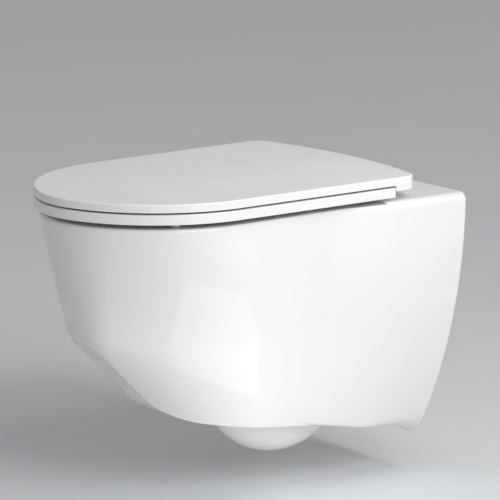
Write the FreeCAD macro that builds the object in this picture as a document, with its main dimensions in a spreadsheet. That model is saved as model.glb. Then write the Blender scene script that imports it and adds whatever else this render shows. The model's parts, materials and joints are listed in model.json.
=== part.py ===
"""Wall hung toilet: a hollow cast pan with a slim soft-closing seat and lid, and its concealed wall fixings.

Frame, in millimetres: the wall is the plane y = 0, +y points into the wall and +z up. The origin is midway
between the two wall fixings, on the wall. x = 0 is the plane of symmetry, and the front is towards -y.
Depths are measured down from the deck, the flat top of the pan behind the seat.
"""
import FreeCAD, Part
import math
import os
from FreeCAD import Vector

SIDES = {"left": -1, "right": 1}

SIZES = {
    # the pan's outer form
    "deck_z": 80, "rim_drop": 3, "deck_front": 127, "pan_length": 531, "rim_half_width": 157.5,
    "wall_half_width": 178, "side_bow_radius": 700, "crease_depth": 165, "crease_rounding": 3,
    "casting_wall": 13, "rim_radius": 4, "deck_radius": 11, "skirt_corner": 45, "hollow_reach": 106,
    "floor_opening": 60, "rear_rail": 24, "web_half_width": 162, "web_base": -38, "web_height": 112,
    # bowl, water way and connections
    "bowl_half_width": 122, "bowl_length": 321, "bowl_centre_y": -328.5, "bowl_wall": 11, "sump_depth": 240,
    "trap_bore": 32, "trap_wall": 12, "trap_bend": 78, "trap_y": -178, "trap_depth": 237, "elbow_bend": 50,
    "outlet_drop": 100, "outlet_radius": 51, "outlet_bore": 40, "setback": 12, "outlet_length": 42,
    "inlet_rise": 35, "inlet_bore": 27.5, "inlet_wall": 10, "inlet_length": 60, "inlet_setback": 4,
    "horn_reach": 120, "chamber_half_width": 48, "chamber_wall": 12, "chamber_rear": -104,
    "fixing_spacing": 180, "socket_radius": 16, "socket_length": 72, "lug_radius": 24, "clamp_y": -45,
    "clamp_hole": 7, "lug_floor": 5,
    # seat and lid
    "lid_half_width": 163.5, "lid_front": 537, "nose_radius": 110, "shoulder_radius": 182,
    "lid_rear": 54.5, "lid_bow": 18.5, "lid_corner": 21, "lid_flare": 4.5, "lid_rise": 20,
    "lid_thickness": 10.7, "lid_plate": 4.5, "lid_lip": 8, "block_front": 111.5, "block_drop": 7,
    "seat_rear": 113, "seat_rise": 4.3, "seat_thickness": 13,
    "seat_hole_half_width": 108, "seat_hole_front": 477, "seat_hole_rear": 187,
    "bumper_radius": 6, "bumper_gap": 0.15,
    # hinges; near and far are distances from the middle
    "arm_near": 42, "arm_far": 65.5, "post_near": 66.5, "post_far": 88.5, "recess_near": 41, "recess_far": 89,
    "pin_near": 44, "pin_far": 109, "lid_bore_near": 88, "lid_bore_far": 110,
    "hinge_spacing": 155, "hinge_y": -96, "hinge_hole": 7.5, "axis_y": -72, "axis_rise": 20,
    "barrel_radius": 7.5, "pin_radius": 3, "bush_radius": 5.45, "fit": 0.05,
    "foot_radius": 15, "foot_height": 5, "gasket_height": 0.8, "stud_radius": 4,
    # wall fixings
    "sleeve_radius": 15.9, "sleeve_bore": 12.1, "barrel_bore": 6.1, "fixing_barrel_radius": 12,
}

doc = FreeCAD.newDocument("wall_hung_toilet")
dims = doc.addObject("Spreadsheet::Sheet", "dims")
for row, (alias, value) in enumerate(SIZES.items(), start=1):
    dims.set(f"A{row}", alias)
    dims.set(f"B{row}", str(value))
    dims.setAlias(f"B{row}", alias)
doc.recompute()


def size(alias):
    """A driving dimension, read from the sheet."""
    return float(getattr(dims, alias))


def bind(item, **expressions):
    """Bind an object's sizes to expressions on the sheet."""
    for path, expression in expressions.items():
        item.setExpression(path, expression)
    return item


def at_depth(depth):
    """Frame height of a depth below the deck."""
    return size("deck_z") - depth


# ---------------------------------------------------------------- sketches and solids used by many parts

def wire_sketch(name, pieces, placement):
    """A free sketch that holds a chain of lines and arcs."""
    sketch = doc.addObject("Sketcher::SketchObject", name)
    sketch.Placement = placement
    sketch.addGeometry(pieces, False)
    return sketch


def level(z):
    """Placement of a plan sketch at height z."""
    return FreeCAD.Placement(Vector(0, 0, z), FreeCAD.Rotation())


def upright(y):
    """Placement of a sketch that stands across the pan at y: its x is x and its y is z."""
    return FreeCAD.Placement(Vector(0, y, 0), FreeCAD.Rotation(Vector(1, 0, 0), 90))


def side_on(x):
    """Placement of a sketch seen from the side: its x is y and its y is z."""
    return FreeCAD.Placement(Vector(x, 0, 0), FreeCAD.Rotation(Vector(1, 1, 1), 120))


def line(start, end):
    return Part.LineSegment(Vector(*start, 0), Vector(*end, 0))


def polygon(points):
    return [line(a, b) for a, b in zip(points, points[1:] + points[:1])]


def arc(centre, radius, start, end):
    """Anticlockwise arc between two angles in degrees."""
    circle = Part.Circle(Vector(*centre, 0), Vector(0, 0, 1), radius)
    return Part.ArcOfCircle(circle, math.radians(start), math.radians(end))


def loft(name, sketches):
    """A smooth solid through closed sections."""
    item = doc.addObject("Part::Loft", name)
    item.Sections = sketches
    item.Solid = True
    return item


def sweep(name, section, spine):
    item = doc.addObject("Part::Sweep", name)
    item.Sections = [section]
    item.Spine = (spine, [])
    item.Solid = True
    return item


def extrude(name, sketch, length, direction, symmetric=False):
    """A prism on a sketch; its length is an expression."""
    item = doc.addObject("Part::Extrusion", name)
    item.Base = sketch
    item.DirMode = "Custom"
    item.Dir = Vector(*direction)
    item.Solid = True
    item.Symmetric = symmetric
    return bind(item, LengthFwd=length)


def join(name, items):
    item = doc.addObject("Part::MultiFuse", name)
    item.Shapes = items
    return item


def cut(name, base, tool):
    item = doc.addObject("Part::Cut", name)
    item.Base = base
    item.Tool = tool
    return item


AXES = {
    "x": FreeCAD.Rotation(Vector(0, 1, 0), 90),
    "y": FreeCAD.Rotation(Vector(1, 0, 0), -90),
    "z": FreeCAD.Rotation(),
}


def place(item, base):
    """Put an object's base at three coordinates given as expressions."""
    for letter, expression in zip("xyz", base):
        item.setExpression(f"Placement.Base.{letter}", expression)
    return item


def rod(name, axis, radius, length, base):
    """A cylinder along an axis; radius, length and base are expressions."""
    item = doc.addObject("Part::Cylinder", name)
    item.Placement = FreeCAD.Placement(Vector(), AXES[axis])
    return place(bind(item, Radius=radius, Height=length), base)


def tube(name, axis, outer, bore, length, base):
    """A rod with a bore right through."""
    return cut(name, rod(f"{name}_body", axis, outer, length, base),
               rod(f"{name}_bore", axis, bore, length, base))


def block(name, sizes, base):
    """A box; its three sizes and its low corner are expressions."""
    item = doc.addObject("Part::Box", name)
    return place(bind(item, Length=sizes[0], Width=sizes[1], Height=sizes[2]), base)


def round_edges(name, base, radius, chosen):
    """Fillet the edges of a solid that a test picks."""
    doc.recompute()
    item = doc.addObject("Part::Fillet", name)
    item.Base = base
    picked = [number for number, edge in enumerate(base.Shape.Edges, start=1) if chosen(edge)]
    item.Edges = [(number, radius, radius) for number in picked]
    return item


def lies_at(edge, z):
    """True for an edge that lies flat at height z."""
    box = edge.BoundBox
    return abs(box.ZMin - z) < 0.01 and abs(box.ZMax - z) < 0.01


# ---------------------------------------------------------------- the pan's outer form

NOSE_ANGLE = 11.5   # half the angle of the arc across the nose
NOSE_LEAN = 0.17    # the nose draws back by this share of the depth
NOSE_BOW = 0.0003   # and by this share of its square
CHIN_END = 212      # depth at which the chin's plan corners are tightest
KEEL_DEPTH = 345    # the hull is lofted past the underside, which then cuts it off
HULL_REAR = 60      # the bowl part ends inside the wall block

# radius and degrees of the plan corner beside the nose, at the rim, at the crease and on the chin
RIM_CORNER, CREASE_CORNER, CHIN_CORNER = (150, 20), (45, 30), (14, 12)


def pan_half_width(depth):
    """The sides bow inwards on one large arc from the deck down."""
    bow = size("side_bow_radius")
    return size("rim_half_width") - (bow - math.sqrt(bow ** 2 - depth ** 2))


def chin(depth):
    """How far the 45 degree chin has drawn the nose back, with a rounded start at the crease."""
    rounding = size("crease_rounding")
    beyond = (depth - size("crease_depth")) / rounding
    return rounding * math.log(1 + math.exp(beyond))


def pan_nose(depth):
    """Distance of the front from the wall: a gentle lean down to the crease, then the chin."""
    upper = min(depth, size("crease_depth"))
    return size("pan_length") - NOSE_LEAN * upper - NOSE_BOW * upper ** 2 - chin(depth)


def between(start, end, share):
    """A pair of values, part of the way from one pair to another."""
    return tuple(a + (b - a) * share for a, b in zip(start, end))


def nose_corner(depth):
    """Radius and sweep of the corner beside the nose: wide at the rim, tight on the chin."""
    crease = size("crease_depth")
    if depth <= crease:
        return between(RIM_CORNER, CREASE_CORNER, depth / crease)
    return between(CREASE_CORNER, CHIN_CORNER, min(1.0, (depth - crease) / (CHIN_END - crease)))


def hull_section(name, depth):
    """A closed plan section: nose, corner and side arcs in tangent succession, then straight sides."""
    corner, sweep_angle = nose_corner(depth)
    half_width = pan_half_width(depth)
    nose_y = -pan_nose(depth)
    nose_radius = size("nose_radius")
    first = math.radians(NOSE_ANGLE)
    second = math.radians(NOSE_ANGLE + sweep_angle)
    shift = nose_radius - corner
    corner_centre = (shift * math.sin(first), nose_y + nose_radius - shift * math.cos(first))
    corner_x = corner_centre[0] + corner * math.sin(second)
    side_radius = (half_width - corner_x) / (1 - math.sin(second))
    shift = side_radius - corner
    side_centre = (half_width - side_radius, corner_centre[1] + shift * math.cos(second))
    first, second = math.degrees(first), math.degrees(second)
    shoulder = (half_width, side_centre[1])
    back = (half_width + 1.0, -HULL_REAR)
    mirrored = lambda point: (-point[0], point[1])
    pieces = [
        arc((0, nose_y + nose_radius), nose_radius, 270 - first, 270 + first),
        arc(corner_centre, corner, 270 + first, 270 + second),
        arc(side_centre, side_radius, 270 + second, 360),
        line(shoulder, back),
        line(back, mirrored(back)),
        line(mirrored(back), mirrored(shoulder)),
        arc(mirrored(side_centre), side_radius, 180, 270 - second),
        arc(mirrored(corner_centre), corner, 270 - second, 270 - first),
    ]
    sketch = wire_sketch(name, pieces, level(at_depth(depth)))
    return bind(sketch, **{"Placement.Base.z": f"dims.deck_z - {depth}"})


def evenly(start, end, count):
    """Depths at equal steps, because a smooth loft through uneven ones overshoots."""
    return [start + (end - start) * step / count for step in range(count + 1)]


def hull():
    """The pan's bowl part as three smooth lofts end to end: flank, rounded crease, chin with keel."""
    crease, band = size("crease_depth"), 3 * size("crease_rounding")
    spans = {
        "flank": evenly(size("rim_drop"), crease - band, 3),
        "crease": evenly(crease - band, crease + band, 3),
        "chin": evenly(crease + band, KEEL_DEPTH, 4),
    }
    lofts = []
    shared = None
    for span, depths in spans.items():
        sections = [shared] if shared else []
        for number, depth in enumerate(depths[len(sections):]):
            sections.append(hull_section(f"hull_{span}_{number}", depth))
        shared = sections[-1]
        lofts.append(loft(f"hull_{span}", sections))
    return join("hull", lofts)


UNDERSIDE_FALL = 0.145   # the bottom falls towards the wall by this share
KEEL_RADIUS = 110        # the chin rounds into the bottom
KEEL_START, KEEL_END = (-405.7, 252.3), (-343.8, 283.3)   # y and depth of the keel arc's two ends
BEYOND = 160             # how far the cutting form runs past the pan
TOOL_WIDTH = "500"       # wider than the pan


def underside_tool():
    """All below the pan's underside: the chin rounds off into a bottom that falls gently to the wall."""
    lean = math.atan(UNDERSIDE_FALL)
    middle_turn = (math.radians(45) + lean) / 2
    centre = (KEEL_END[0] + KEEL_RADIUS * math.sin(lean), KEEL_END[1] - KEEL_RADIUS * math.cos(lean))
    middle = (centre[0] - KEEL_RADIUS * math.sin(middle_turn), centre[1] + KEEL_RADIUS * math.cos(middle_turn))
    flip = lambda point: Vector(point[0], at_depth(point[1]), 0)
    far = (KEEL_START[0] - BEYOND, KEEL_START[1] - BEYOND)
    low = KEEL_DEPTH + BEYOND
    rear = (HULL_REAR, KEEL_END[1] + UNDERSIDE_FALL * (HULL_REAR - KEEL_END[0]))
    corners = [KEEL_END, rear, (HULL_REAR, low), (far[0], low), far, KEEL_START]
    pieces = [Part.LineSegment(flip(a), flip(b)) for a, b in zip(corners, corners[1:])]
    pieces.append(Part.Arc(flip(KEEL_START), flip(middle), flip(KEEL_END)))
    profile = wire_sketch("underside_profile", pieces, side_on(0))
    return extrude("underside", profile, TOOL_WIDTH, (1, 0, 0), True)


SKIRT_Y, SKIRT_DEPTH, SKIRT_FALL = -131, 319, 0.14   # the block's bottom: its depth at one y, and its fall
TURN_DEPTH, TURN_REACH = 12, 25                      # how far it turns down at the wall, and over what reach
SHARP_START, SHARP_REACH, SHARP_BY = 25, 85, 36      # where its lower corners sharpen, and by how much
BLOCK_LIFT = 0.28                                    # the bottom rises by this share of a section's inset


def skirt_bottom(y):
    """Depth of the wall block's bottom: it falls gently, then turns down to meet the wall."""
    return SKIRT_DEPTH + SKIRT_FALL * (y - SKIRT_Y) + TURN_DEPTH * math.exp(y / TURN_REACH)


def skirt_corner(y):
    """Radius of the wall block's lower corners: full at the wall, and sharpening towards the bowl part."""
    return size("skirt_corner") - SHARP_BY * min(1.0, max(0.0, (-y - SHARP_START) / SHARP_REACH))


def wall_section(name, y, inset, top, shoulder, lift, corner):
    """The U shape at the wall: flat top, round shoulders, bowed sides, round lower corners, flat bottom."""
    bow = size("side_bow_radius")
    bottom = skirt_bottom(y) - lift
    side_centre = size("wall_half_width") - inset - bow
    low_depth, high_depth = bottom - corner, top + shoulder
    low_x = side_centre + math.sqrt((bow - corner) ** 2 - low_depth ** 2)
    high_x = side_centre + math.sqrt((bow - shoulder) ** 2 - high_depth ** 2)
    low_turn = math.degrees(math.asin(low_depth / (bow - corner)))
    high_turn = math.degrees(math.asin(high_depth / (bow - shoulder)))
    pieces = [
        line((high_x, -top), (-high_x, -top)),
        arc((-high_x, -high_depth), shoulder, 90, 180 + high_turn),
        arc((-side_centre, 0), bow, 180 + high_turn, 180 + low_turn),
        arc((-low_x, -low_depth), corner, 180 + low_turn, 270),
        line((-low_x, -bottom), (low_x, -bottom)),
        arc((low_x, -low_depth), corner, 270, 360 - low_turn),
        arc((side_centre, 0), bow, 360 - low_turn, 360 - high_turn),
        arc((high_x, -high_depth), shoulder, 360 - high_turn, 450),
    ]
    sketch = wire_sketch(name, pieces, upright(y))
    return bind(sketch, **{"Placement.Base.z": "dims.deck_z"})


# distance from the wall and inset of the wall block's sections: it flares out of the bowl part's sides
BLOCK_FLARE = ((230, 23.0), (195, 19.0), (160, 13.2), (130, 7.2), (105, 2.2), (85, 0.3), (50, 0.0), (20, 0.0),
               (0, 0.0))


def outer_form():
    """The pan's outside, still solid: bowl part, wall block and the raised deck behind the seat."""
    rim_z = at_depth(size("rim_drop"))
    front = round_edges("front_form", cut("front_sharp", hull(), underside_tool()), size("rim_radius"),
                        lambda edge: lies_at(edge, rim_z) and edge.BoundBox.YMin < -HULL_REAR - 1)
    sections = []
    for away, inset in BLOCK_FLARE:
        sections.append(wall_section(f"block_{away}", -away, inset, 0.0, size("deck_radius"),
                                     BLOCK_LIFT * inset, skirt_corner(-away)))
    step = block("rim_step", ("600", "400", "30"),
                 ("-300", "-dims.deck_front - 400", "dims.deck_z - dims.rim_drop"))
    wall_block = cut("block_stepped", loft("wall_block", sections), step)
    return join("outer_form", [front, wall_block])


# ---------------------------------------------------------------- the pan's inside

def bowl_oval(depth):
    """Half width, half length and centre of the bowl at a depth: an oval that narrows faster and faster."""
    share = max(0.0, depth) / size("sump_depth")
    sump = size("trap_bore") + 4
    narrowing = 1 - share ** 2.2
    half_width = sump + (size("bowl_half_width") - sump) * narrowing
    half_length = sump + 1 + (size("bowl_length") / 2 - sump - 1) * narrowing
    drift = size("trap_y") - size("trap_bend") - size("bowl_centre_y")
    return half_width, half_length, size("bowl_centre_y") + drift * share ** 2.5


def bowl_form(name, wall):
    """The bowl's cavity, or with a wall its outside."""
    sections = []
    top = size("rim_drop") if wall else -1
    for number, depth in enumerate(evenly(top, size("sump_depth"), 6)):
        half_width, half_length, centre_y = bowl_oval(depth)
        oval = Part.Ellipse(Vector(0, centre_y + half_length + wall, 0),
                            Vector(half_width + wall, centre_y, 0), Vector(0, centre_y, 0))
        sketch = wire_sketch(f"{name}_{number}", [oval], level(at_depth(depth)))
        sections.append(bind(sketch, **{"Placement.Base.z": f"dims.deck_z - {depth}"}))
    return loft(name, sections)


def trap_path():
    """From the sump down, round the U bend, up over the weir and level to the outlet."""
    bend, elbow = size("trap_bend"), size("elbow_bend")
    centre_y, centre_z = size("trap_y"), at_depth(size("trap_depth"))
    outlet_z = -size("outlet_drop")
    down_y, up_y = centre_y - bend, centre_y + bend
    top_z = outlet_z - elbow
    pieces = [
        line((down_y, centre_z + 22), (down_y, centre_z)),
        arc((centre_y, centre_z), bend, 180, 360),
        line((up_y, centre_z), (up_y, top_z)),
        arc((up_y + elbow, top_z), elbow, 90, 180),
        line((up_y + elbow, outlet_z), (-size("setback"), outlet_z)),
    ]
    return wire_sketch("trap_path", pieces, side_on(0)), down_y, centre_z + 22


def trap_form(name, radius, path):
    """A round tube swept along the trap's path."""
    spine, start_y, start_z = path
    circle = Part.Circle(Vector(0, start_y, 0), Vector(0, 0, 1), radius)
    return sweep(name, wire_sketch(f"{name}_section", [circle], level(start_z)), spine)


DECK_WALL, HOLLOW_SHOULDER, CORNER_LESS = 18.0, 6.0, 4   # under the deck, at the roof's ends, at the lower corners
FRONT_TAPER = 2.2                                        # the hollow follows the outer flare at its front end


def hollows():
    """The casting's open hollow behind the bowl: open to the wall, and to the floor round the outlet."""
    wall, reach = size("casting_wall"), size("hollow_reach")
    sections = []
    for number, (away, taper) in enumerate(((reach, FRONT_TAPER), (60, 0.0), (20, 0.0), (-2, 0.0))):
        sections.append(wall_section(f"hollow_{number}", -away, wall + taper, DECK_WALL, HOLLOW_SHOULDER, wall,
                                     skirt_corner(-away) - CORNER_LESS))
    opening = block("floor_opening", ("2 * dims.floor_opening", "dims.hollow_reach - dims.rear_rail", "140"),
                    ("-dims.floor_opening", "-dims.hollow_reach", "dims.deck_z - 400"))
    return join("hollows", [loft("rear_hollow", sections), opening])


def on_both_sides(make):
    """Call a maker for the left and the right side and collect what it returns."""
    made = []
    for side, sign in SIDES.items():
        made += make(side, sign)
    return made


def ceramic_inside(path):
    """What the casting holds: bowl, trap, outlet spigot, web, flush chamber, inlet horn, lugs and bosses."""
    solids = [
        bowl_form("bowl_outside", size("bowl_wall")),
        trap_form("trap_outside", size("trap_bore") + size("trap_wall"), path),
        rod("spigot", "y", "dims.outlet_radius", "dims.outlet_length",
            ("0", "-dims.setback - dims.outlet_length", "-dims.outlet_drop")),
        block("web", ("2 * dims.web_half_width", "dims.setback", "dims.web_height"),
              ("-dims.web_half_width", "-dims.setback", "dims.web_base")),
        rod("horn", "y", "dims.inlet_bore + dims.inlet_wall", "dims.horn_reach - dims.inlet_setback",
            ("0", "-dims.horn_reach", "dims.inlet_rise")),
        block("chamber_outside", ("2 * (dims.chamber_half_width + dims.chamber_wall)", "86", "82"),
              ("-dims.chamber_half_width - dims.chamber_wall", "dims.chamber_rear + dims.chamber_wall - 86",
               "dims.deck_z - 85")),
    ]

    def lug(side, sign):
        x = f"{sign} * dims.fixing_spacing / 2"
        hinge_x = f"{sign} * dims.hinge_spacing / 2"
        return [
            rod(f"lug_{side}", "y", "dims.lug_radius", "dims.socket_length + dims.lug_floor",
                (x, "-dims.socket_length - dims.lug_floor", "0")),
            block(f"rib_{side}", ("12", "50", "60"), (f"{x} - 6", "-50", "10")),
            rod(f"boss_{side}", "z", "2 * dims.hinge_hole", "10", (hinge_x, "dims.hinge_y", "dims.deck_z - 20")),
        ]

    return solids + on_both_sides(lug)


def ceramic_bores(path):
    """Every opening in the casting: bowl, water way, flush way, sockets and hinge holes."""
    tools = [
        bowl_form("bowl_cavity", 0.0),
        trap_form("trap_passage", size("trap_bore"), path),
        rod("outlet_mouth", "y", "dims.outlet_bore", "45", ("0", "-45", "-dims.outlet_drop")),
        rod("inlet_bore", "y", "dims.inlet_bore", "dims.inlet_length + 5",
            ("0", "-dims.inlet_setback - dims.inlet_length", "dims.inlet_rise")),
        rod("inlet_throat", "y", "dims.inlet_bore - 3", "100", ("0", "-110", "dims.inlet_rise")),
        block("chamber", ("2 * dims.chamber_half_width", "49", "60"),
              ("-dims.chamber_half_width", "dims.chamber_rear - 49", "dims.deck_z - 75")),
        block("flush_slot", ("80", "35", "22"), ("-40", "-185", "dims.deck_z - 52")),
    ]

    def bores(side, sign):
        x = f"{sign} * dims.fixing_spacing / 2"
        return [
            rod(f"socket_{side}", "y", "dims.socket_radius", "dims.socket_length + 5",
                (x, "-dims.socket_length", "0")),
            rod(f"clamp_hole_{side}", "z", "dims.clamp_hole", "20", (x, "dims.clamp_y", "-30")),
            rod(f"hinge_hole_{side}", "z", "dims.hinge_hole", "60",
                (f"{sign} * dims.hinge_spacing / 2", "dims.hinge_y", "dims.deck_z - 40")),
        ]

    return join("ceramic_bores", tools + on_both_sides(bores))


def pan():
    """The casting: the outer form, hollowed, with the bowl and water way built in and bored through."""
    outer = outer_form()
    path = trap_path()
    shell = cut("shell", outer, hollows())
    whole = join("casting", [shell] + ceramic_inside(path))
    return cut("pan", whole, ceramic_bores(path))


# ---------------------------------------------------------------- seat and lid

def seat_sides(inset):
    """Nose and shoulder arcs that seat and lid share, and the point where each side starts."""
    half_width = size("lid_half_width") - inset
    nose = size("nose_radius") - inset
    shoulder = size("shoulder_radius") - inset
    nose_y = size("nose_radius") - size("lid_front")
    centre_x = half_width - shoulder
    turn = math.asin(-centre_x / (shoulder - nose))
    centre_y = nose_y + (shoulder - nose) * math.cos(turn)
    turn = math.degrees(turn)
    pieces = [
        arc((0, nose_y), nose, 270 - turn, 270 + turn),
        arc((centre_x, centre_y), shoulder, 270 + turn, 360),
        arc((-centre_x, centre_y), shoulder, 180, 270 - turn),
    ]
    return pieces, (half_width, centre_y)


def cut_off_plan(name, z, inset, rear):
    """The shared outline with a straight rear edge."""
    pieces, start = seat_sides(inset)
    end = (start[0] + size("lid_flare"), -rear)
    pieces += [line(start, end), line(end, (-end[0], end[1])), line((-end[0], end[1]), (-start[0], start[1]))]
    return wire_sketch(name, pieces, level(z))


def lid_plan(name, z):
    """The shared outline with the lid's bowed rear edge and round rear corners."""
    pieces, start = seat_sides(0.0)
    reach, bow, corner = 150.0, size("lid_bow"), size("lid_corner")
    rear_radius = (reach ** 2 + bow ** 2) / (2 * bow)
    rear_y = -size("lid_rear") - rear_radius
    side_x = start[0] + size("lid_flare")
    corner_x = side_x - corner
    rise = math.sqrt((rear_radius - corner) ** 2 - corner_x ** 2)
    turn = math.degrees(math.atan2(rise, corner_x))
    corner_y = rear_y + rise
    end = (side_x, corner_y)
    pieces += [
        line(start, end),
        arc((corner_x, corner_y), corner, 0, turn),
        arc((0, rear_y), rear_radius, turn, 180 - turn),
        arc((-corner_x, corner_y), corner, 180 - turn, 180),
        line((-end[0], end[1]), (-start[0], start[1])),
    ]
    return wire_sketch(name, pieces, level(z))


AXIS = ("dims.axis_y", "dims.deck_z + dims.axis_rise")


def mirrored_base(sign, near, far):
    """Low x of something that runs from near to far on the given side."""
    return near if sign > 0 else f"-({far})"


def side_start(sign, near, far):
    """Low x, as a number, of a profile that is extruded from near to far on the given side."""
    return size(near) if sign > 0 else -size(far)


def seat_ring():
    """The seat: a slim ring, rounded inside, with two arms that carry the inner hinge knuckles."""
    bottom = size("deck_z") + size("seat_rise")
    half_width, corner = size("seat_hole_half_width"), 70.0
    front_y = half_width - size("seat_hole_front")
    rear_y = -size("seat_hole_rear") - corner
    plate = extrude("seat_plate", cut_off_plan("seat_plan", bottom, 0.0, size("seat_rear")),
                    "dims.seat_thickness", (0, 0, 1))
    flat = half_width - corner
    hole_pieces = [
        arc((0, front_y), half_width, 180, 360),
        line((half_width, front_y), (half_width, rear_y)),
        arc((flat, rear_y), corner, 0, 90),
        line((flat, rear_y + corner), (-flat, rear_y + corner)),
        arc((-flat, rear_y), corner, 90, 180),
        line((-half_width, rear_y), (-half_width, front_y)),
    ]
    hole = extrude("seat_hole", wire_sketch("seat_hole_plan", hole_pieces, level(bottom)),
                   "dims.seat_thickness", (0, 0, 1))
    ring = cut("seat_flat", plate, hole)
    top = bottom + size("seat_thickness")
    inner = lambda edge: max(abs(edge.BoundBox.XMin), abs(edge.BoundBox.XMax)) < half_width + 1
    in_hole = lambda edge: inner(edge) and edge.BoundBox.YMax < -180 and edge.BoundBox.YMin > -480
    ring = round_edges("seat_lip", ring, 5.0, lambda edge: lies_at(edge, top) and in_hole(edge))
    ring = round_edges("seat_edges", ring, 1.5, lambda edge: (
        (lies_at(edge, top) and not in_hole(edge) and edge.BoundBox.XLength + edge.BoundBox.YLength > 12
         and edge.BoundBox.YMin < -size("seat_rear") - 0.1) or lies_at(edge, bottom)))
    z = lambda rise: size("deck_z") + rise
    y = lambda away: -size("seat_rear") - away
    profile = polygon([(y(12), z(6.5)), (-85, z(10.2)), (-72, z(12.6)), (-72, z(27.4)), (-86, z(25)),
                       (-104, z(17)), (y(12), z(16))])

    def arm(side, sign):
        sketch = wire_sketch(f"arm_{side}_profile", profile, side_on(side_start(sign, "arm_near", "arm_far")))
        return [
            extrude(f"arm_{side}", sketch, "dims.arm_far - dims.arm_near", (1, 0, 0)),
            rod(f"seat_knuckle_{side}", "x", "dims.barrel_radius", "dims.arm_far - dims.arm_near",
                (mirrored_base(sign, "dims.arm_near", "dims.arm_far"), *AXIS)),
        ]

    def bore(side, sign):
        return [rod(f"seat_bore_{side}", "x", "dims.bush_radius + dims.fit", "dims.arm_far - dims.arm_near - 0.5",
                    (mirrored_base(sign, "dims.arm_near + 1.5", "dims.arm_far + 1"), *AXIS))]

    whole = join("seat_with_arms", [ring] + on_both_sides(arm))
    return cut("seat_ring", whole, join("seat_bores", on_both_sides(bore)))


def lid():
    """The lid: a thin plate with a lip, and a thicker block at the rear that covers the hinges."""
    bottom = size("deck_z") + size("lid_rise")
    low = bottom - size("block_drop")
    full = extrude("lid_full", lid_plan("lid_plan", low), "dims.lid_thickness + dims.block_drop", (0, 0, 1))
    under = block("lid_under", ("400", "600", "dims.block_drop + 1"),
                  ("-200", "-dims.block_front - 600", "dims.deck_z + dims.lid_rise - dims.block_drop - 1"))
    top = bottom + size("lid_thickness")
    plate = round_edges("lid_edges", cut("lid_stepped", full, under), 2.0, lambda edge: lies_at(edge, top))
    hollow = extrude("lid_hollow", cut_off_plan("lid_hollow_plan", bottom, size("lid_lip"), 118.0),
                     "dims.lid_thickness - dims.lid_plate", (0, 0, 1))

    def openings(side, sign):
        return [
            block(f"lid_recess_{side}", ("dims.recess_far - dims.recess_near", "90", "22"),
                  (mirrored_base(sign, "dims.recess_near", "dims.recess_far"), "-126",
                   "dims.deck_z + dims.axis_rise - 14")),
            rod(f"lid_bore_{side}", "x", "dims.bush_radius + dims.fit", "dims.lid_bore_far - dims.lid_bore_near",
                (mirrored_base(sign, "dims.lid_bore_near", "dims.lid_bore_far"), *AXIS)),
        ]

    return cut("lid", plate, join("lid_openings", [hollow] + on_both_sides(openings)))


# ---------------------------------------------------------------- hinges and bumpers

def hinge_post(side, sign):
    """A cranked metal post: it stands in front of the axis so that the opened lid clears it."""
    axis_y, axis_z = size("axis_y"), size("deck_z") + size("axis_rise")
    foot_z = size("deck_z") + size("gasket_height")
    profile = polygon([(axis_y, axis_z + 7.4), (axis_y - 14, axis_z + 5.5), (axis_y - 28, axis_z - 2),
                       (axis_y - 36, foot_z + 3), (axis_y - 17, foot_z + 3), (axis_y - 16, axis_z - 5.5),
                       (axis_y, axis_z - 7.4)])
    low_x, width = mirrored_base(sign, "dims.post_near", "dims.post_far"), "dims.post_far - dims.post_near"
    sketch = wire_sketch(f"post_profile_{side}", profile, side_on(side_start(sign, "post_near", "post_far")))
    hinge_x = f"{sign} * dims.hinge_spacing / 2"
    solids = [
        extrude(f"post_arm_{side}", sketch, width, (1, 0, 0)),
        rod(f"post_barrel_{side}", "x", "dims.barrel_radius", width, (low_x, *AXIS)),
        rod(f"post_foot_{side}", "z", "dims.foot_radius", "dims.foot_height",
            (hinge_x, "dims.hinge_y", "dims.deck_z + dims.gasket_height")),
    ]
    bores = [
        rod(f"post_bore_{side}", "x", "dims.pin_radius + dims.fit", f"{width} + 2", (f"{low_x} - 1", *AXIS)),
        rod(f"post_stud_hole_{side}", "z", "dims.stud_radius + dims.fit", "9",
            (hinge_x, "dims.hinge_y", "dims.deck_z - 1")),
    ]
    return [cut(f"hinge_post_{side}", join(f"post_{side}", solids), join(f"post_bores_{side}", bores))]


def hinge_set(side, sign):
    """Pin, gasket, stud, expanding sleeve and conical nut of one hinge."""
    x = f"{sign} * dims.hinge_spacing / 2"
    foot = (x, "dims.hinge_y")
    nut = doc.addObject("Part::Cone", f"nut_cone_{side}")
    place(bind(nut, Radius1="10", Radius2="6.5", Height="10"), (*foot, "dims.deck_z - 32"))
    return [
        rod(f"hinge_pin_{side}", "x", "dims.pin_radius", "dims.pin_far - dims.pin_near",
            (mirrored_base(sign, "dims.pin_near", "dims.pin_far"), *AXIS)),
        tube(f"hinge_gasket_{side}", "z", "dims.foot_radius - 0.5", "dims.hinge_hole", "dims.gasket_height",
             (*foot, "dims.deck_z")),
        rod(f"hinge_bolt_{side}", "z", "dims.stud_radius", "56", (*foot, "dims.deck_z - 48")),
        tube(f"hinge_sleeve_{side}", "z", "dims.hinge_hole - dims.fit", "dims.stud_radius + dims.fit", "22",
             (*foot, "dims.deck_z - 21.9")),
        cut(f"hinge_nut_{side}", nut, rod(f"nut_bore_{side}", "z", "dims.stud_radius + dims.fit", "12",
                                          (*foot, "dims.deck_z - 33"))),
    ]


def hinge_sleeves():
    """One damper and one bush on each pin: seat damper right, lid damper left."""
    inner, outer = ("44", "65.3"), ("89.7", "109.5")
    for name, sign, (near, far) in (("seat_damper_right", 1, inner), ("seat_bush_left", -1, inner),
                                    ("lid_damper_left", -1, outer), ("lid_bush_right", 1, outer)):
        tube(name, "x", "dims.bush_radius", "dims.pin_radius + dims.fit", f"{far} - {near}",
             (mirrored_base(sign, near, far), *AXIS))


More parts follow.
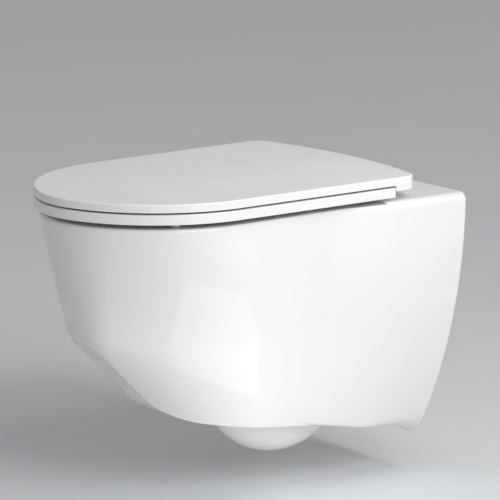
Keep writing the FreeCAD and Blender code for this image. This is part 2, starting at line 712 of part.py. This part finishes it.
def bumpers():
    """Rubber feet under the seat and pads under the lid, each clear of what it rests on by a hair."""
    seat_height = "dims.rim_drop + dims.seat_rise - dims.bumper_gap - dims.fit"
    lid_height = "dims.lid_rise + dims.lid_thickness - dims.lid_plate - dims.seat_rise - dims.seat_thickness" \
                 " - dims.bumper_gap - dims.fit"
    for side, sign in SIDES.items():
        for end, x, y in (("front", 119, -431), ("rear", 136, -232)):
            rod(f"seat_bumper_{end}_{side}", "z", "dims.bumper_radius", seat_height,
                (f"{sign} * {x}", str(y), "dims.deck_z - dims.rim_drop + dims.bumper_gap"))
        for end, x, y in (("front", 105, -440), ("rear", 134, -205)):
            rod(f"lid_bumper_{end}_{side}", "z", "dims.bumper_radius - 1", lid_height,
                (f"{sign} * {x}", str(y), "dims.deck_z + dims.seat_rise + dims.seat_thickness + dims.bumper_gap"))


# ---------------------------------------------------------------- wall fixings

def wall_fixing(side, sign):
    """Sleeve and threaded barrel in the socket, held by a clamp screw from below."""
    x = f"{sign} * dims.fixing_spacing / 2"
    sleeve = tube(f"sleeve_tube_{side}", "y", "dims.sleeve_radius", "dims.sleeve_bore",
                  "dims.socket_length - 2", (x, "-dims.socket_length + 2", "0"))
    screw_hole = rod(f"sleeve_hole_{side}", "z", "dims.stud_radius + 0.2", "12", (x, "dims.clamp_y", "-20"))
    barrel = tube(f"barrel_tube_{side}", "y", "dims.fixing_barrel_radius", "dims.barrel_bore",
                  "dims.socket_length - 6", (x, "-dims.socket_length + 6", "0"))
    groove = tube(f"barrel_groove_{side}", "y", "dims.fixing_barrel_radius + 1",
                  "dims.fixing_barrel_radius - 2", "12", (x, "dims.clamp_y - 6", "0"))
    screw = join(f"clamp_screw_{side}", [
        rod(f"screw_shank_{side}", "z", "dims.stud_radius", "24", (x, "dims.clamp_y", "-34.2")),
        rod(f"screw_head_{side}", "z", "6.5", "5", (x, "dims.clamp_y", "-39.2")),
    ])
    return [
        cut(f"fixing_sleeve_{side}", sleeve, screw_hole),
        cut(f"fixing_barrel_{side}", barrel, groove),
        tube(f"clamp_insert_{side}", "z", "dims.clamp_hole - dims.fit", "dims.stud_radius + dims.fit", "7",
             (x, "dims.clamp_y", "-24")),
        screw,
    ]


# ---------------------------------------------------------------- build, check and write

pan()
seat_ring()
lid()
on_both_sides(hinge_post)
on_both_sides(hinge_set)
hinge_sleeves()
bumpers()
on_both_sides(wall_fixing)
doc.recompute()

PAIRED = ["hinge_post", "hinge_pin", "hinge_gasket", "hinge_bolt", "hinge_sleeve", "hinge_nut",
          "seat_bumper_front", "seat_bumper_rear", "lid_bumper_front", "lid_bumper_rear",
          "fixing_sleeve", "fixing_barrel", "clamp_insert", "clamp_screw"]
NODES = ["pan", "seat_ring", "lid", "seat_damper_right", "seat_bush_left", "lid_damper_left", "lid_bush_right"]
NODES += [f"{name}_{side}" for name in PAIRED for side in SIDES]

for item in doc.Objects:
    if "Invalid" in item.State or "Error" in item.State:
        raise RuntimeError(f"{item.Name} failed: {item.State}")
parts = [doc.getObject(name) for name in NODES]
for part in parts:
    if part.Shape.isNull() or not part.Shape.isValid() or not part.Shape.Solids:
        raise RuntimeError(f"{part.Label} has no valid solid")
os.makedirs("parts", exist_ok=True)
for part in parts:
    part.Shape.exportStep(f"parts/{part.Label}.step")
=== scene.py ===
import json
import math

import bmesh
import bpy
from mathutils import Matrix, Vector

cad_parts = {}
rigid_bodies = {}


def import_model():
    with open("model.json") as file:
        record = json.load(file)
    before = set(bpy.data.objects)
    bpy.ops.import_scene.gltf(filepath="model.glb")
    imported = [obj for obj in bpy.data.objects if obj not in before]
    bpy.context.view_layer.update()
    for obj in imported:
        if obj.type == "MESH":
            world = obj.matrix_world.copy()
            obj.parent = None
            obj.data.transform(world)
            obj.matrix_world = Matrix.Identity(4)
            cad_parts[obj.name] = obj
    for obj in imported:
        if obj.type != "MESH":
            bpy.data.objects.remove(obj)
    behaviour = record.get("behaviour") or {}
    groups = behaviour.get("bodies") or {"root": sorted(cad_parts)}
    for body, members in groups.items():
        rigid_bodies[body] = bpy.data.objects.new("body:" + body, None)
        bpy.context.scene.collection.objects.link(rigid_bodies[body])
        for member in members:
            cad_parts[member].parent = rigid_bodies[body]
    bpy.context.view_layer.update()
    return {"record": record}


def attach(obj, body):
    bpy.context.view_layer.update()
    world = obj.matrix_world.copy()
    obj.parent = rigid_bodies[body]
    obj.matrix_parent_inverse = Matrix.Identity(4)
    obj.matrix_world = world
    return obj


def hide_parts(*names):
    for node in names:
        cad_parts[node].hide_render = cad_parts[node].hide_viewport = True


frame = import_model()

SIDES = ("left", "right")

# the camera stands at the front right, a little above the lid
AZIMUTH, ELEVATION = math.radians(52.63), math.radians(12.58)
AIM, DISTANCE = (0.0, -0.25, -0.04), 4.0
LENS, SENSOR_WIDTH = 218.01, 36.0
SHIFT_X, SHIFT_Y = 0.0342, 0.0661

# the studio
FLOOR_Z = -0.32           # the pan hangs with its deck 400 mm above the floor
FLOOR_RADIUS = 16.0
FLOOR_TONE = 0.80
SKY = (0.97, 0.98, 1.0, 1.0)
AMBIENT, BACKDROP = 0.36, 0.42

# where each lamp stands, the point it faces, its width and height, and its watts
LAMPS = {
    "side_window": ((6.9, -0.35, 4.1), (0.0, -0.25, 0.0), (5.0, 4.2), 322.0),
    "deck_light": ((0.55, -0.05, 0.9), (0.0, -0.12, 0.05), (0.5, 0.5), 3.6),
    "floor_reflector": ((0.75, -0.35, -0.3), (0.0, -0.3, -0.1), (0.9, 0.9), 1.0),
    "floor_glow": ((0.2, -0.34, -0.315), (0.08, -0.33, -0.1), (0.3, 0.45), 0.36),
}


def add_object(name, data):
    item = bpy.data.objects.new(name, data)
    bpy.context.scene.collection.objects.link(item)
    return item


# ---------------------------------------------------------------- nodes

def feed(tree, value, socket):
    """Link one socket to another, or set it where the value is a plain number or colour."""
    if isinstance(value, bpy.types.NodeSocket):
        tree.links.new(value, socket)
    else:
        socket.default_value = value


def two_values(tree, operation, first, second):
    """The result of a Math node on two values."""
    node = tree.nodes.new("ShaderNodeMath")
    node.operation = operation
    feed(tree, first, node.inputs[0])
    feed(tree, second, node.inputs[1])
    return node.outputs[0]


def between(tree, kind, share, first, second):
    """A value (kind FLOAT) or colour (kind RGBA) between two others, by a share from 0 to 1."""
    node = tree.nodes.new("ShaderNodeMix")
    node.data_type = kind
    feed(tree, share, node.inputs["Factor"])
    feed(tree, first, node.inputs["A"])
    feed(tree, second, node.inputs["B"])
    return node.outputs["Result"]


def remap(tree, value, low, high, to_low, to_high):
    """Map a value from one range to another."""
    node = tree.nodes.new("ShaderNodeMapRange")
    feed(tree, low, node.inputs["From Min"])
    feed(tree, high, node.inputs["From Max"])
    feed(tree, to_low, node.inputs["To Min"])
    feed(tree, to_high, node.inputs["To Max"])
    feed(tree, value, node.inputs["Value"])
    return node.outputs["Result"]


def noise(tree, scale, detail, roughness=0.55):
    """Noise on the object's own coordinates."""
    place = tree.nodes.new("ShaderNodeTexCoord")
    cloud = tree.nodes.new("ShaderNodeTexNoise")
    feed(tree, place.outputs["Object"], cloud.inputs["Vector"])
    feed(tree, scale, cloud.inputs["Scale"])
    feed(tree, detail, cloud.inputs["Detail"])
    feed(tree, roughness, cloud.inputs["Roughness"])
    return cloud.outputs["Fac"]


def seen_directly(tree):
    """1 for what is looked at, also in a reflection or through something clear; 0 for what lights the pan."""
    path = tree.nodes.new("ShaderNodeLightPath")
    total = path.outputs["Is Camera Ray"]
    for title in ("Is Glossy Ray", "Is Transmission Ray"):
        total = two_values(tree, "MAXIMUM", total, path.outputs[title])
    return total


def choose_shader(tree, share, first, second, surface):
    """Send a mix of two shaders to a surface socket."""
    choose = tree.nodes.new("ShaderNodeMixShader")
    feed(tree, share, choose.inputs["Fac"])
    feed(tree, first, choose.inputs[1])
    feed(tree, second, choose.inputs[2])
    feed(tree, choose.outputs[0], surface)


# ---------------------------------------------------------------- camera, light and floor

def set_camera():
    """The photograph's view."""
    back = Vector((math.sin(AZIMUTH) * math.cos(ELEVATION),
                   -math.cos(AZIMUTH) * math.cos(ELEVATION), math.sin(ELEVATION)))
    data = bpy.data.cameras.new("camera")
    data.sensor_width = SENSOR_WIDTH
    data.lens = LENS
    data.shift_x = SHIFT_X
    data.shift_y = SHIFT_Y
    data.clip_end = 100.0
    camera = add_object("camera", data)
    camera.location = Vector(AIM) + DISTANCE * back
    camera.rotation_euler = back.to_track_quat("Z", "Y").to_euler()
    bpy.context.scene.camera = camera


def set_lamps():
    """A large window of light beside the pan, a small one over its deck, and light thrown up by the floor."""
    for name, (place, aim, (width, height), watts) in LAMPS.items():
        data = bpy.data.lights.new(name, "AREA")
        data.shape = "RECTANGLE"
        data.size, data.size_y = width, height
        data.energy = watts
        lamp = add_object(name, data)
        lamp.location = place
        lamp.rotation_euler = (Vector(place) - Vector(aim)).to_track_quat("Z", "Y").to_euler()
        lamp.visible_camera = False


def set_world():
    """Even grey light from all round; reflections see a slightly paler backdrop."""
    world = bpy.data.worlds.new("studio")
    world.use_nodes = True
    tree = world.node_tree
    tree.nodes.clear()
    output = tree.nodes.new("ShaderNodeOutputWorld")
    skies = []
    for strength in (AMBIENT, BACKDROP):
        sky = tree.nodes.new("ShaderNodeBackground")
        feed(tree, SKY, sky.inputs["Color"])
        feed(tree, strength, sky.inputs["Strength"])
        skies.append(sky.outputs[0])
    choose_shader(tree, seen_directly(tree), *skies, output.inputs["Surface"])
    bpy.context.scene.world = world


def set_floor():
    shape = bmesh.new()
    bmesh.ops.create_circle(shape, cap_ends=True, segments=64, radius=FLOOR_RADIUS)
    bmesh.ops.translate(shape, verts=shape.verts, vec=(0.0, 0.0, FLOOR_Z))
    mesh = bpy.data.meshes.new("floor")
    shape.to_mesh(mesh)
    shape.free()
    floor = add_object("floor", mesh)
    mesh.materials.append(floor_finish())


# ---------------------------------------------------------------- effects that several finishes share

def new_group(name, inputs, outputs):
    """A node group; an input's default, a number or a colour, gives the kind of its socket."""
    group = bpy.data.node_groups.new(name, "ShaderNodeTree")
    for title, value in inputs.items():
        kind = "NodeSocketColor" if isinstance(value, tuple) else "NodeSocketFloat"
        socket = group.interface.new_socket(title, in_out="INPUT", socket_type=kind)
        socket.default_value = value
    for title, kind in outputs.items():
        group.interface.new_socket(title, in_out="OUTPUT", socket_type=kind)
    start = group.nodes.new("NodeGroupInput")
    end = group.nodes.new("NodeGroupOutput")
    return group, start.outputs, end.inputs


def drift_group():
    """A slow drift of tone and gloss, as no real surface is quite even."""
    white = (0.8, 0.8, 0.8, 1.0)
    group, given, result = new_group(
        "surface_drift",
        {"Scale": 6.0, "Tone A": white, "Tone B": white, "Roughness A": 0.1, "Roughness B": 0.2},
        {"Colour": "NodeSocketColor", "Roughness": "NodeSocketFloat"})
    cloud = noise(group, given["Scale"], 3.0)
    share = remap(group, cloud, 0.35, 0.65, 0.0, 1.0)
    feed(group, between(group, "RGBA", share, given["Tone A"], given["Tone B"]), result["Colour"])
    gloss = remap(group, cloud, 0.3, 0.7, given["Roughness A"], given["Roughness B"])
    feed(group, gloss, result["Roughness"])
    return group


def grain_group():
    """Height of a fine grain over a broader swell."""
    group, given, result = new_group(
        "surface_grain",
        {"Fine Scale": 900.0, "Fine": 0.3, "Broad Scale": 60.0, "Broad": 0.7},
        {"Height": "NodeSocketFloat"})
    layers = []
    for title in ("Fine", "Broad"):
        cloud = noise(group, given[f"{title} Scale"], 2.0)
        layers.append(two_values(group, "MULTIPLY", cloud, given[title]))
    feed(group, two_values(group, "ADD", *layers), result["Height"])
    return group


def wall_contact_group():
    """1 within a given depth of the wall, where the casting is left bare, with a ragged edge; else 0."""
    group, given, result = new_group("wall_contact", {"Depth": 0.0012}, {"Mask": "NodeSocketFloat"})
    place = group.nodes.new("ShaderNodeTexCoord")
    parts = group.nodes.new("ShaderNodeSeparateXYZ")
    feed(group, place.outputs["Object"], parts.inputs[0])
    ragged = remap(group, noise(group, 180.0, 2.0), 0.3, 0.7, -0.0008, 0.0008)
    beyond = two_values(group, "ADD", two_values(group, "ADD", parts.outputs["Y"], ragged), given["Depth"])
    feed(group, remap(group, beyond, 0.0, 0.0003, 0.0, 1.0), result["Mask"])
    return group


DRIFT = drift_group()
GRAIN = grain_group()
WALL_CONTACT = wall_contact_group()


# ---------------------------------------------------------------- finishes

COOL_GLAZE = (0.985, 0.993, 1.0)
COOL_FLOOR = (0.965, 0.985, 1.0)
NATURAL = (1.0, 0.99, 0.95)
BLUISH = (0.97, 0.99, 1.0)
BARE_BODY = (0.66, 0.63, 0.58, 1.0)
BARE_ROUGHNESS = 0.85


def grey(value, tint=(1.0, 1.0, 1.0)):
    return (value * tint[0], value * tint[1], value * tint[2], 1.0)


def finish_of(name, tones, gloss, drift_scale, grain, relief, **shader):
    """A material: two tones and two roughnesses that drift, grain as relief in metres, and constants.

    The grain is its fine scale and share, then its broad scale and share.
    """
    material = bpy.data.materials.new(name)
    material.use_nodes = True
    tree = material.node_tree
    surface = tree.nodes["Principled BSDF"]
    drift = tree.nodes.new("ShaderNodeGroup")
    drift.node_tree = DRIFT
    drift.inputs["Scale"].default_value = drift_scale
    drift.inputs["Tone A"].default_value, drift.inputs["Tone B"].default_value = tones
    drift.inputs["Roughness A"].default_value, drift.inputs["Roughness B"].default_value = gloss
    feed(tree, drift.outputs["Colour"], surface.inputs["Base Color"])
    feed(tree, drift.outputs["Roughness"], surface.inputs["Roughness"])
    grain_node = tree.nodes.new("ShaderNodeGroup")
    grain_node.node_tree = GRAIN
    for title, value in zip(("Fine Scale", "Fine", "Broad Scale", "Broad"), grain):
        grain_node.inputs[title].default_value = value
    bump = tree.nodes.new("ShaderNodeBump")
    bump.inputs["Strength"].default_value = 1.0
    bump.inputs["Distance"].default_value = relief
    feed(tree, grain_node.outputs["Height"], bump.inputs["Height"])
    feed(tree, bump.outputs["Normal"], surface.inputs["Normal"])
    for title, value in shader.items():
        surface.inputs[title.replace("_", " ")].default_value = value
    return material


def bare_at_the_wall(material):
    """Where the casting rests on the wall its glaze gives way to pale, matt, unglazed body."""
    tree = material.node_tree
    surface = tree.nodes["Principled BSDF"].inputs
    contact = tree.nodes.new("ShaderNodeGroup")
    contact.node_tree = WALL_CONTACT
    mask = contact.outputs["Mask"]
    colour = between(tree, "RGBA", mask, surface["Base Color"].links[0].from_socket, BARE_BODY)
    gloss = between(tree, "FLOAT", mask, surface["Roughness"].links[0].from_socket, BARE_ROUGHNESS)
    coat = between(tree, "FLOAT", mask, surface["Coat Weight"].default_value, 0.0)
    feed(tree, colour, surface["Base Color"])
    feed(tree, gloss, surface["Roughness"])
    feed(tree, coat, surface["Coat Weight"])
    return material


def floor_finish():
    """A matt pale floor: what is seen of it is a cooler tone than the one that lights the pan."""
    tones = (grey(FLOOR_TONE, COOL_FLOOR), grey(FLOOR_TONE + 0.01, COOL_FLOOR))
    material = finish_of("matt_floor", tones, (0.75, 0.85), 2.0, (300.0, 0.5, 20.0, 0.5), 0.0002)
    tree = material.node_tree
    bounce = tree.nodes.new("ShaderNodeBsdfDiffuse")
    feed(tree, grey(FLOOR_TONE), bounce.inputs["Color"])
    choose_shader(tree, seen_directly(tree), bounce.outputs[0], tree.nodes["Principled BSDF"].outputs[0],
                  tree.nodes["Material Output"].inputs["Surface"])
    return material


def finishes():
    """One finish for each material slot of the record."""
    return {
        "ceramic": bare_at_the_wall(finish_of(
            "glazed_ceramic", (grey(0.80, COOL_GLAZE), grey(0.825, COOL_GLAZE)), (0.07, 0.12), 7.0,
            (700.0, 0.15, 45.0, 0.85), 0.00010, IOR=1.52, Coat_Weight=0.25, Coat_Roughness=0.04)),
        "seat_plastic": finish_of(
            "seat_duroplast", (grey(0.82, COOL_GLAZE), grey(0.84, COOL_GLAZE)), (0.20, 0.27), 9.0,
            (1400.0, 0.5, 80.0, 0.5), 0.00004, IOR=1.50),
        "damper_plastic": finish_of(
            "damper_plastic", (grey(0.09), grey(0.12)), (0.38, 0.5), 60.0,
            (2500.0, 0.7, 200.0, 0.3), 0.00008, IOR=1.46),
        "bush_plastic": finish_of(
            "bush_plastic", (grey(0.70, NATURAL), grey(0.75, NATURAL)), (0.35, 0.45), 60.0,
            (2500.0, 0.6, 200.0, 0.4), 0.00006, IOR=1.46),
        "hinge_metal": finish_of(
            "satin_chrome", (grey(0.70), grey(0.76)), (0.16, 0.26), 40.0,
            (3000.0, 0.7, 200.0, 0.3), 0.00003, Metallic=1.0),
        "steel": finish_of(
            "plain_steel", (grey(0.50), grey(0.58)), (0.28, 0.42), 80.0,
            (4000.0, 0.8, 300.0, 0.2), 0.00004, Metallic=1.0),
        "rubber": finish_of(
            "black_rubber", (grey(0.022), grey(0.035)), (0.6, 0.75), 90.0,
            (3000.0, 0.8, 300.0, 0.2), 0.0001, IOR=1.5),
        "bumper_rubber": finish_of(
            "pale_rubber", (grey(0.62), grey(0.68)), (0.45, 0.55), 90.0,
            (3000.0, 0.6, 300.0, 0.4), 0.00008, IOR=1.45),
        "zinc": finish_of(
            "zinc_plate", (grey(0.42, NATURAL), grey(0.62, BLUISH)), (0.3, 0.5), 120.0,
            (2500.0, 0.5, 400.0, 0.5), 0.00006, Metallic=1.0),
    }


def dress_cad_nodes():
    for part in frame["record"]["subparts"]:
        item = bpy.data.objects[part["node"]]
        item.data.materials.clear()
        item.data.materials.append(FINISH[part["material_slot"]])


# ---------------------------------------------------------------- small pieces with eased edges

# for each small hard piece: the name of the one that stands for it, its body, its slot and its edges' radius
EASED = {
    "hinge_post": ("cast_post", "pan_body", "hinge_metal", 0.0007),
    "hinge_nut": ("cone_nut", "pan_body", "damper_plastic", 0.0006),
    "hinge_bolt": ("stud", "pan_body", "steel", 0.0006),
    "clamp_screw": ("set_screw", "pan_body", "steel", 0.0005),
    "seat_bumper_front": ("seat_foot_front", "seat_body", "bumper_rubber", 0.0012),
    "lid_bumper_front": ("lid_pad_front", "lid_body", "bumper_rubber", 0.0008),
    "seat_bumper_rear": ("seat_foot_rear", "seat_body", "bumper_rubber", 0.0012),
    "lid_bumper_rear": ("lid_pad_rear", "lid_body", "bumper_rubber", 0.0008),
}
FLAT_ANGLE = math.radians(1.0)     # triangles that meet flatter than this are one face
EASED_ANGLE = math.radians(40.0)   # edges sharper than this are rounded
CRISP_ANGLE = math.radians(30.0)   # edges sharper than this stay crisp in the shading


def ease_edges(node, name, body, slot, width):
    """A copy of a small hard piece with its sharp edges rounded, which stands for the plain one."""
    shape = bmesh.new()
    shape.from_mesh(bpy.data.objects[node].data)
    bmesh.ops.remove_doubles(shape, verts=shape.verts, dist=1e-6)
    bmesh.ops.dissolve_limit(shape, angle_limit=FLAT_ANGLE, verts=shape.verts, edges=shape.edges)
    sharp = [edge for edge in shape.edges
             if len(edge.link_faces) == 2 and edge.calc_face_angle() > EASED_ANGLE]
    bmesh.ops.bevel(shape, geom=sharp, offset=width, offset_type="OFFSET", segments=3, profile=0.5,
                    affect="EDGES", material=-1, clamp_overlap=True)
    bmesh.ops.recalc_face_normals(shape, faces=shape.faces)
    mesh = bpy.data.meshes.new(name)
    shape.to_mesh(mesh)
    shape.free()
    mesh.shade_smooth()
    mesh.set_sharp_from_angle(angle=CRISP_ANGLE)
    mesh.materials.append(FINISH[slot])
    piece = add_object(name, mesh)
    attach(piece, body)
    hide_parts(node)


def ease_small_pieces():
    """Posts, nuts, studs and set screws on the pan; rubber feet and pads on seat and lid."""
    for side in SIDES:
        for node, (name, body, slot, width) in EASED.items():
            ease_edges(f"{node}_{side}", f"{name}_{side}", body, slot, width)


# ---------------------------------------------------------------- the scene

set_camera()
set_lamps()
set_world()
set_floor()
FINISH = finishes()
dress_cad_nodes()
ease_small_pieces()

bpy.context.scene.view_settings.view_transform = "Standard"
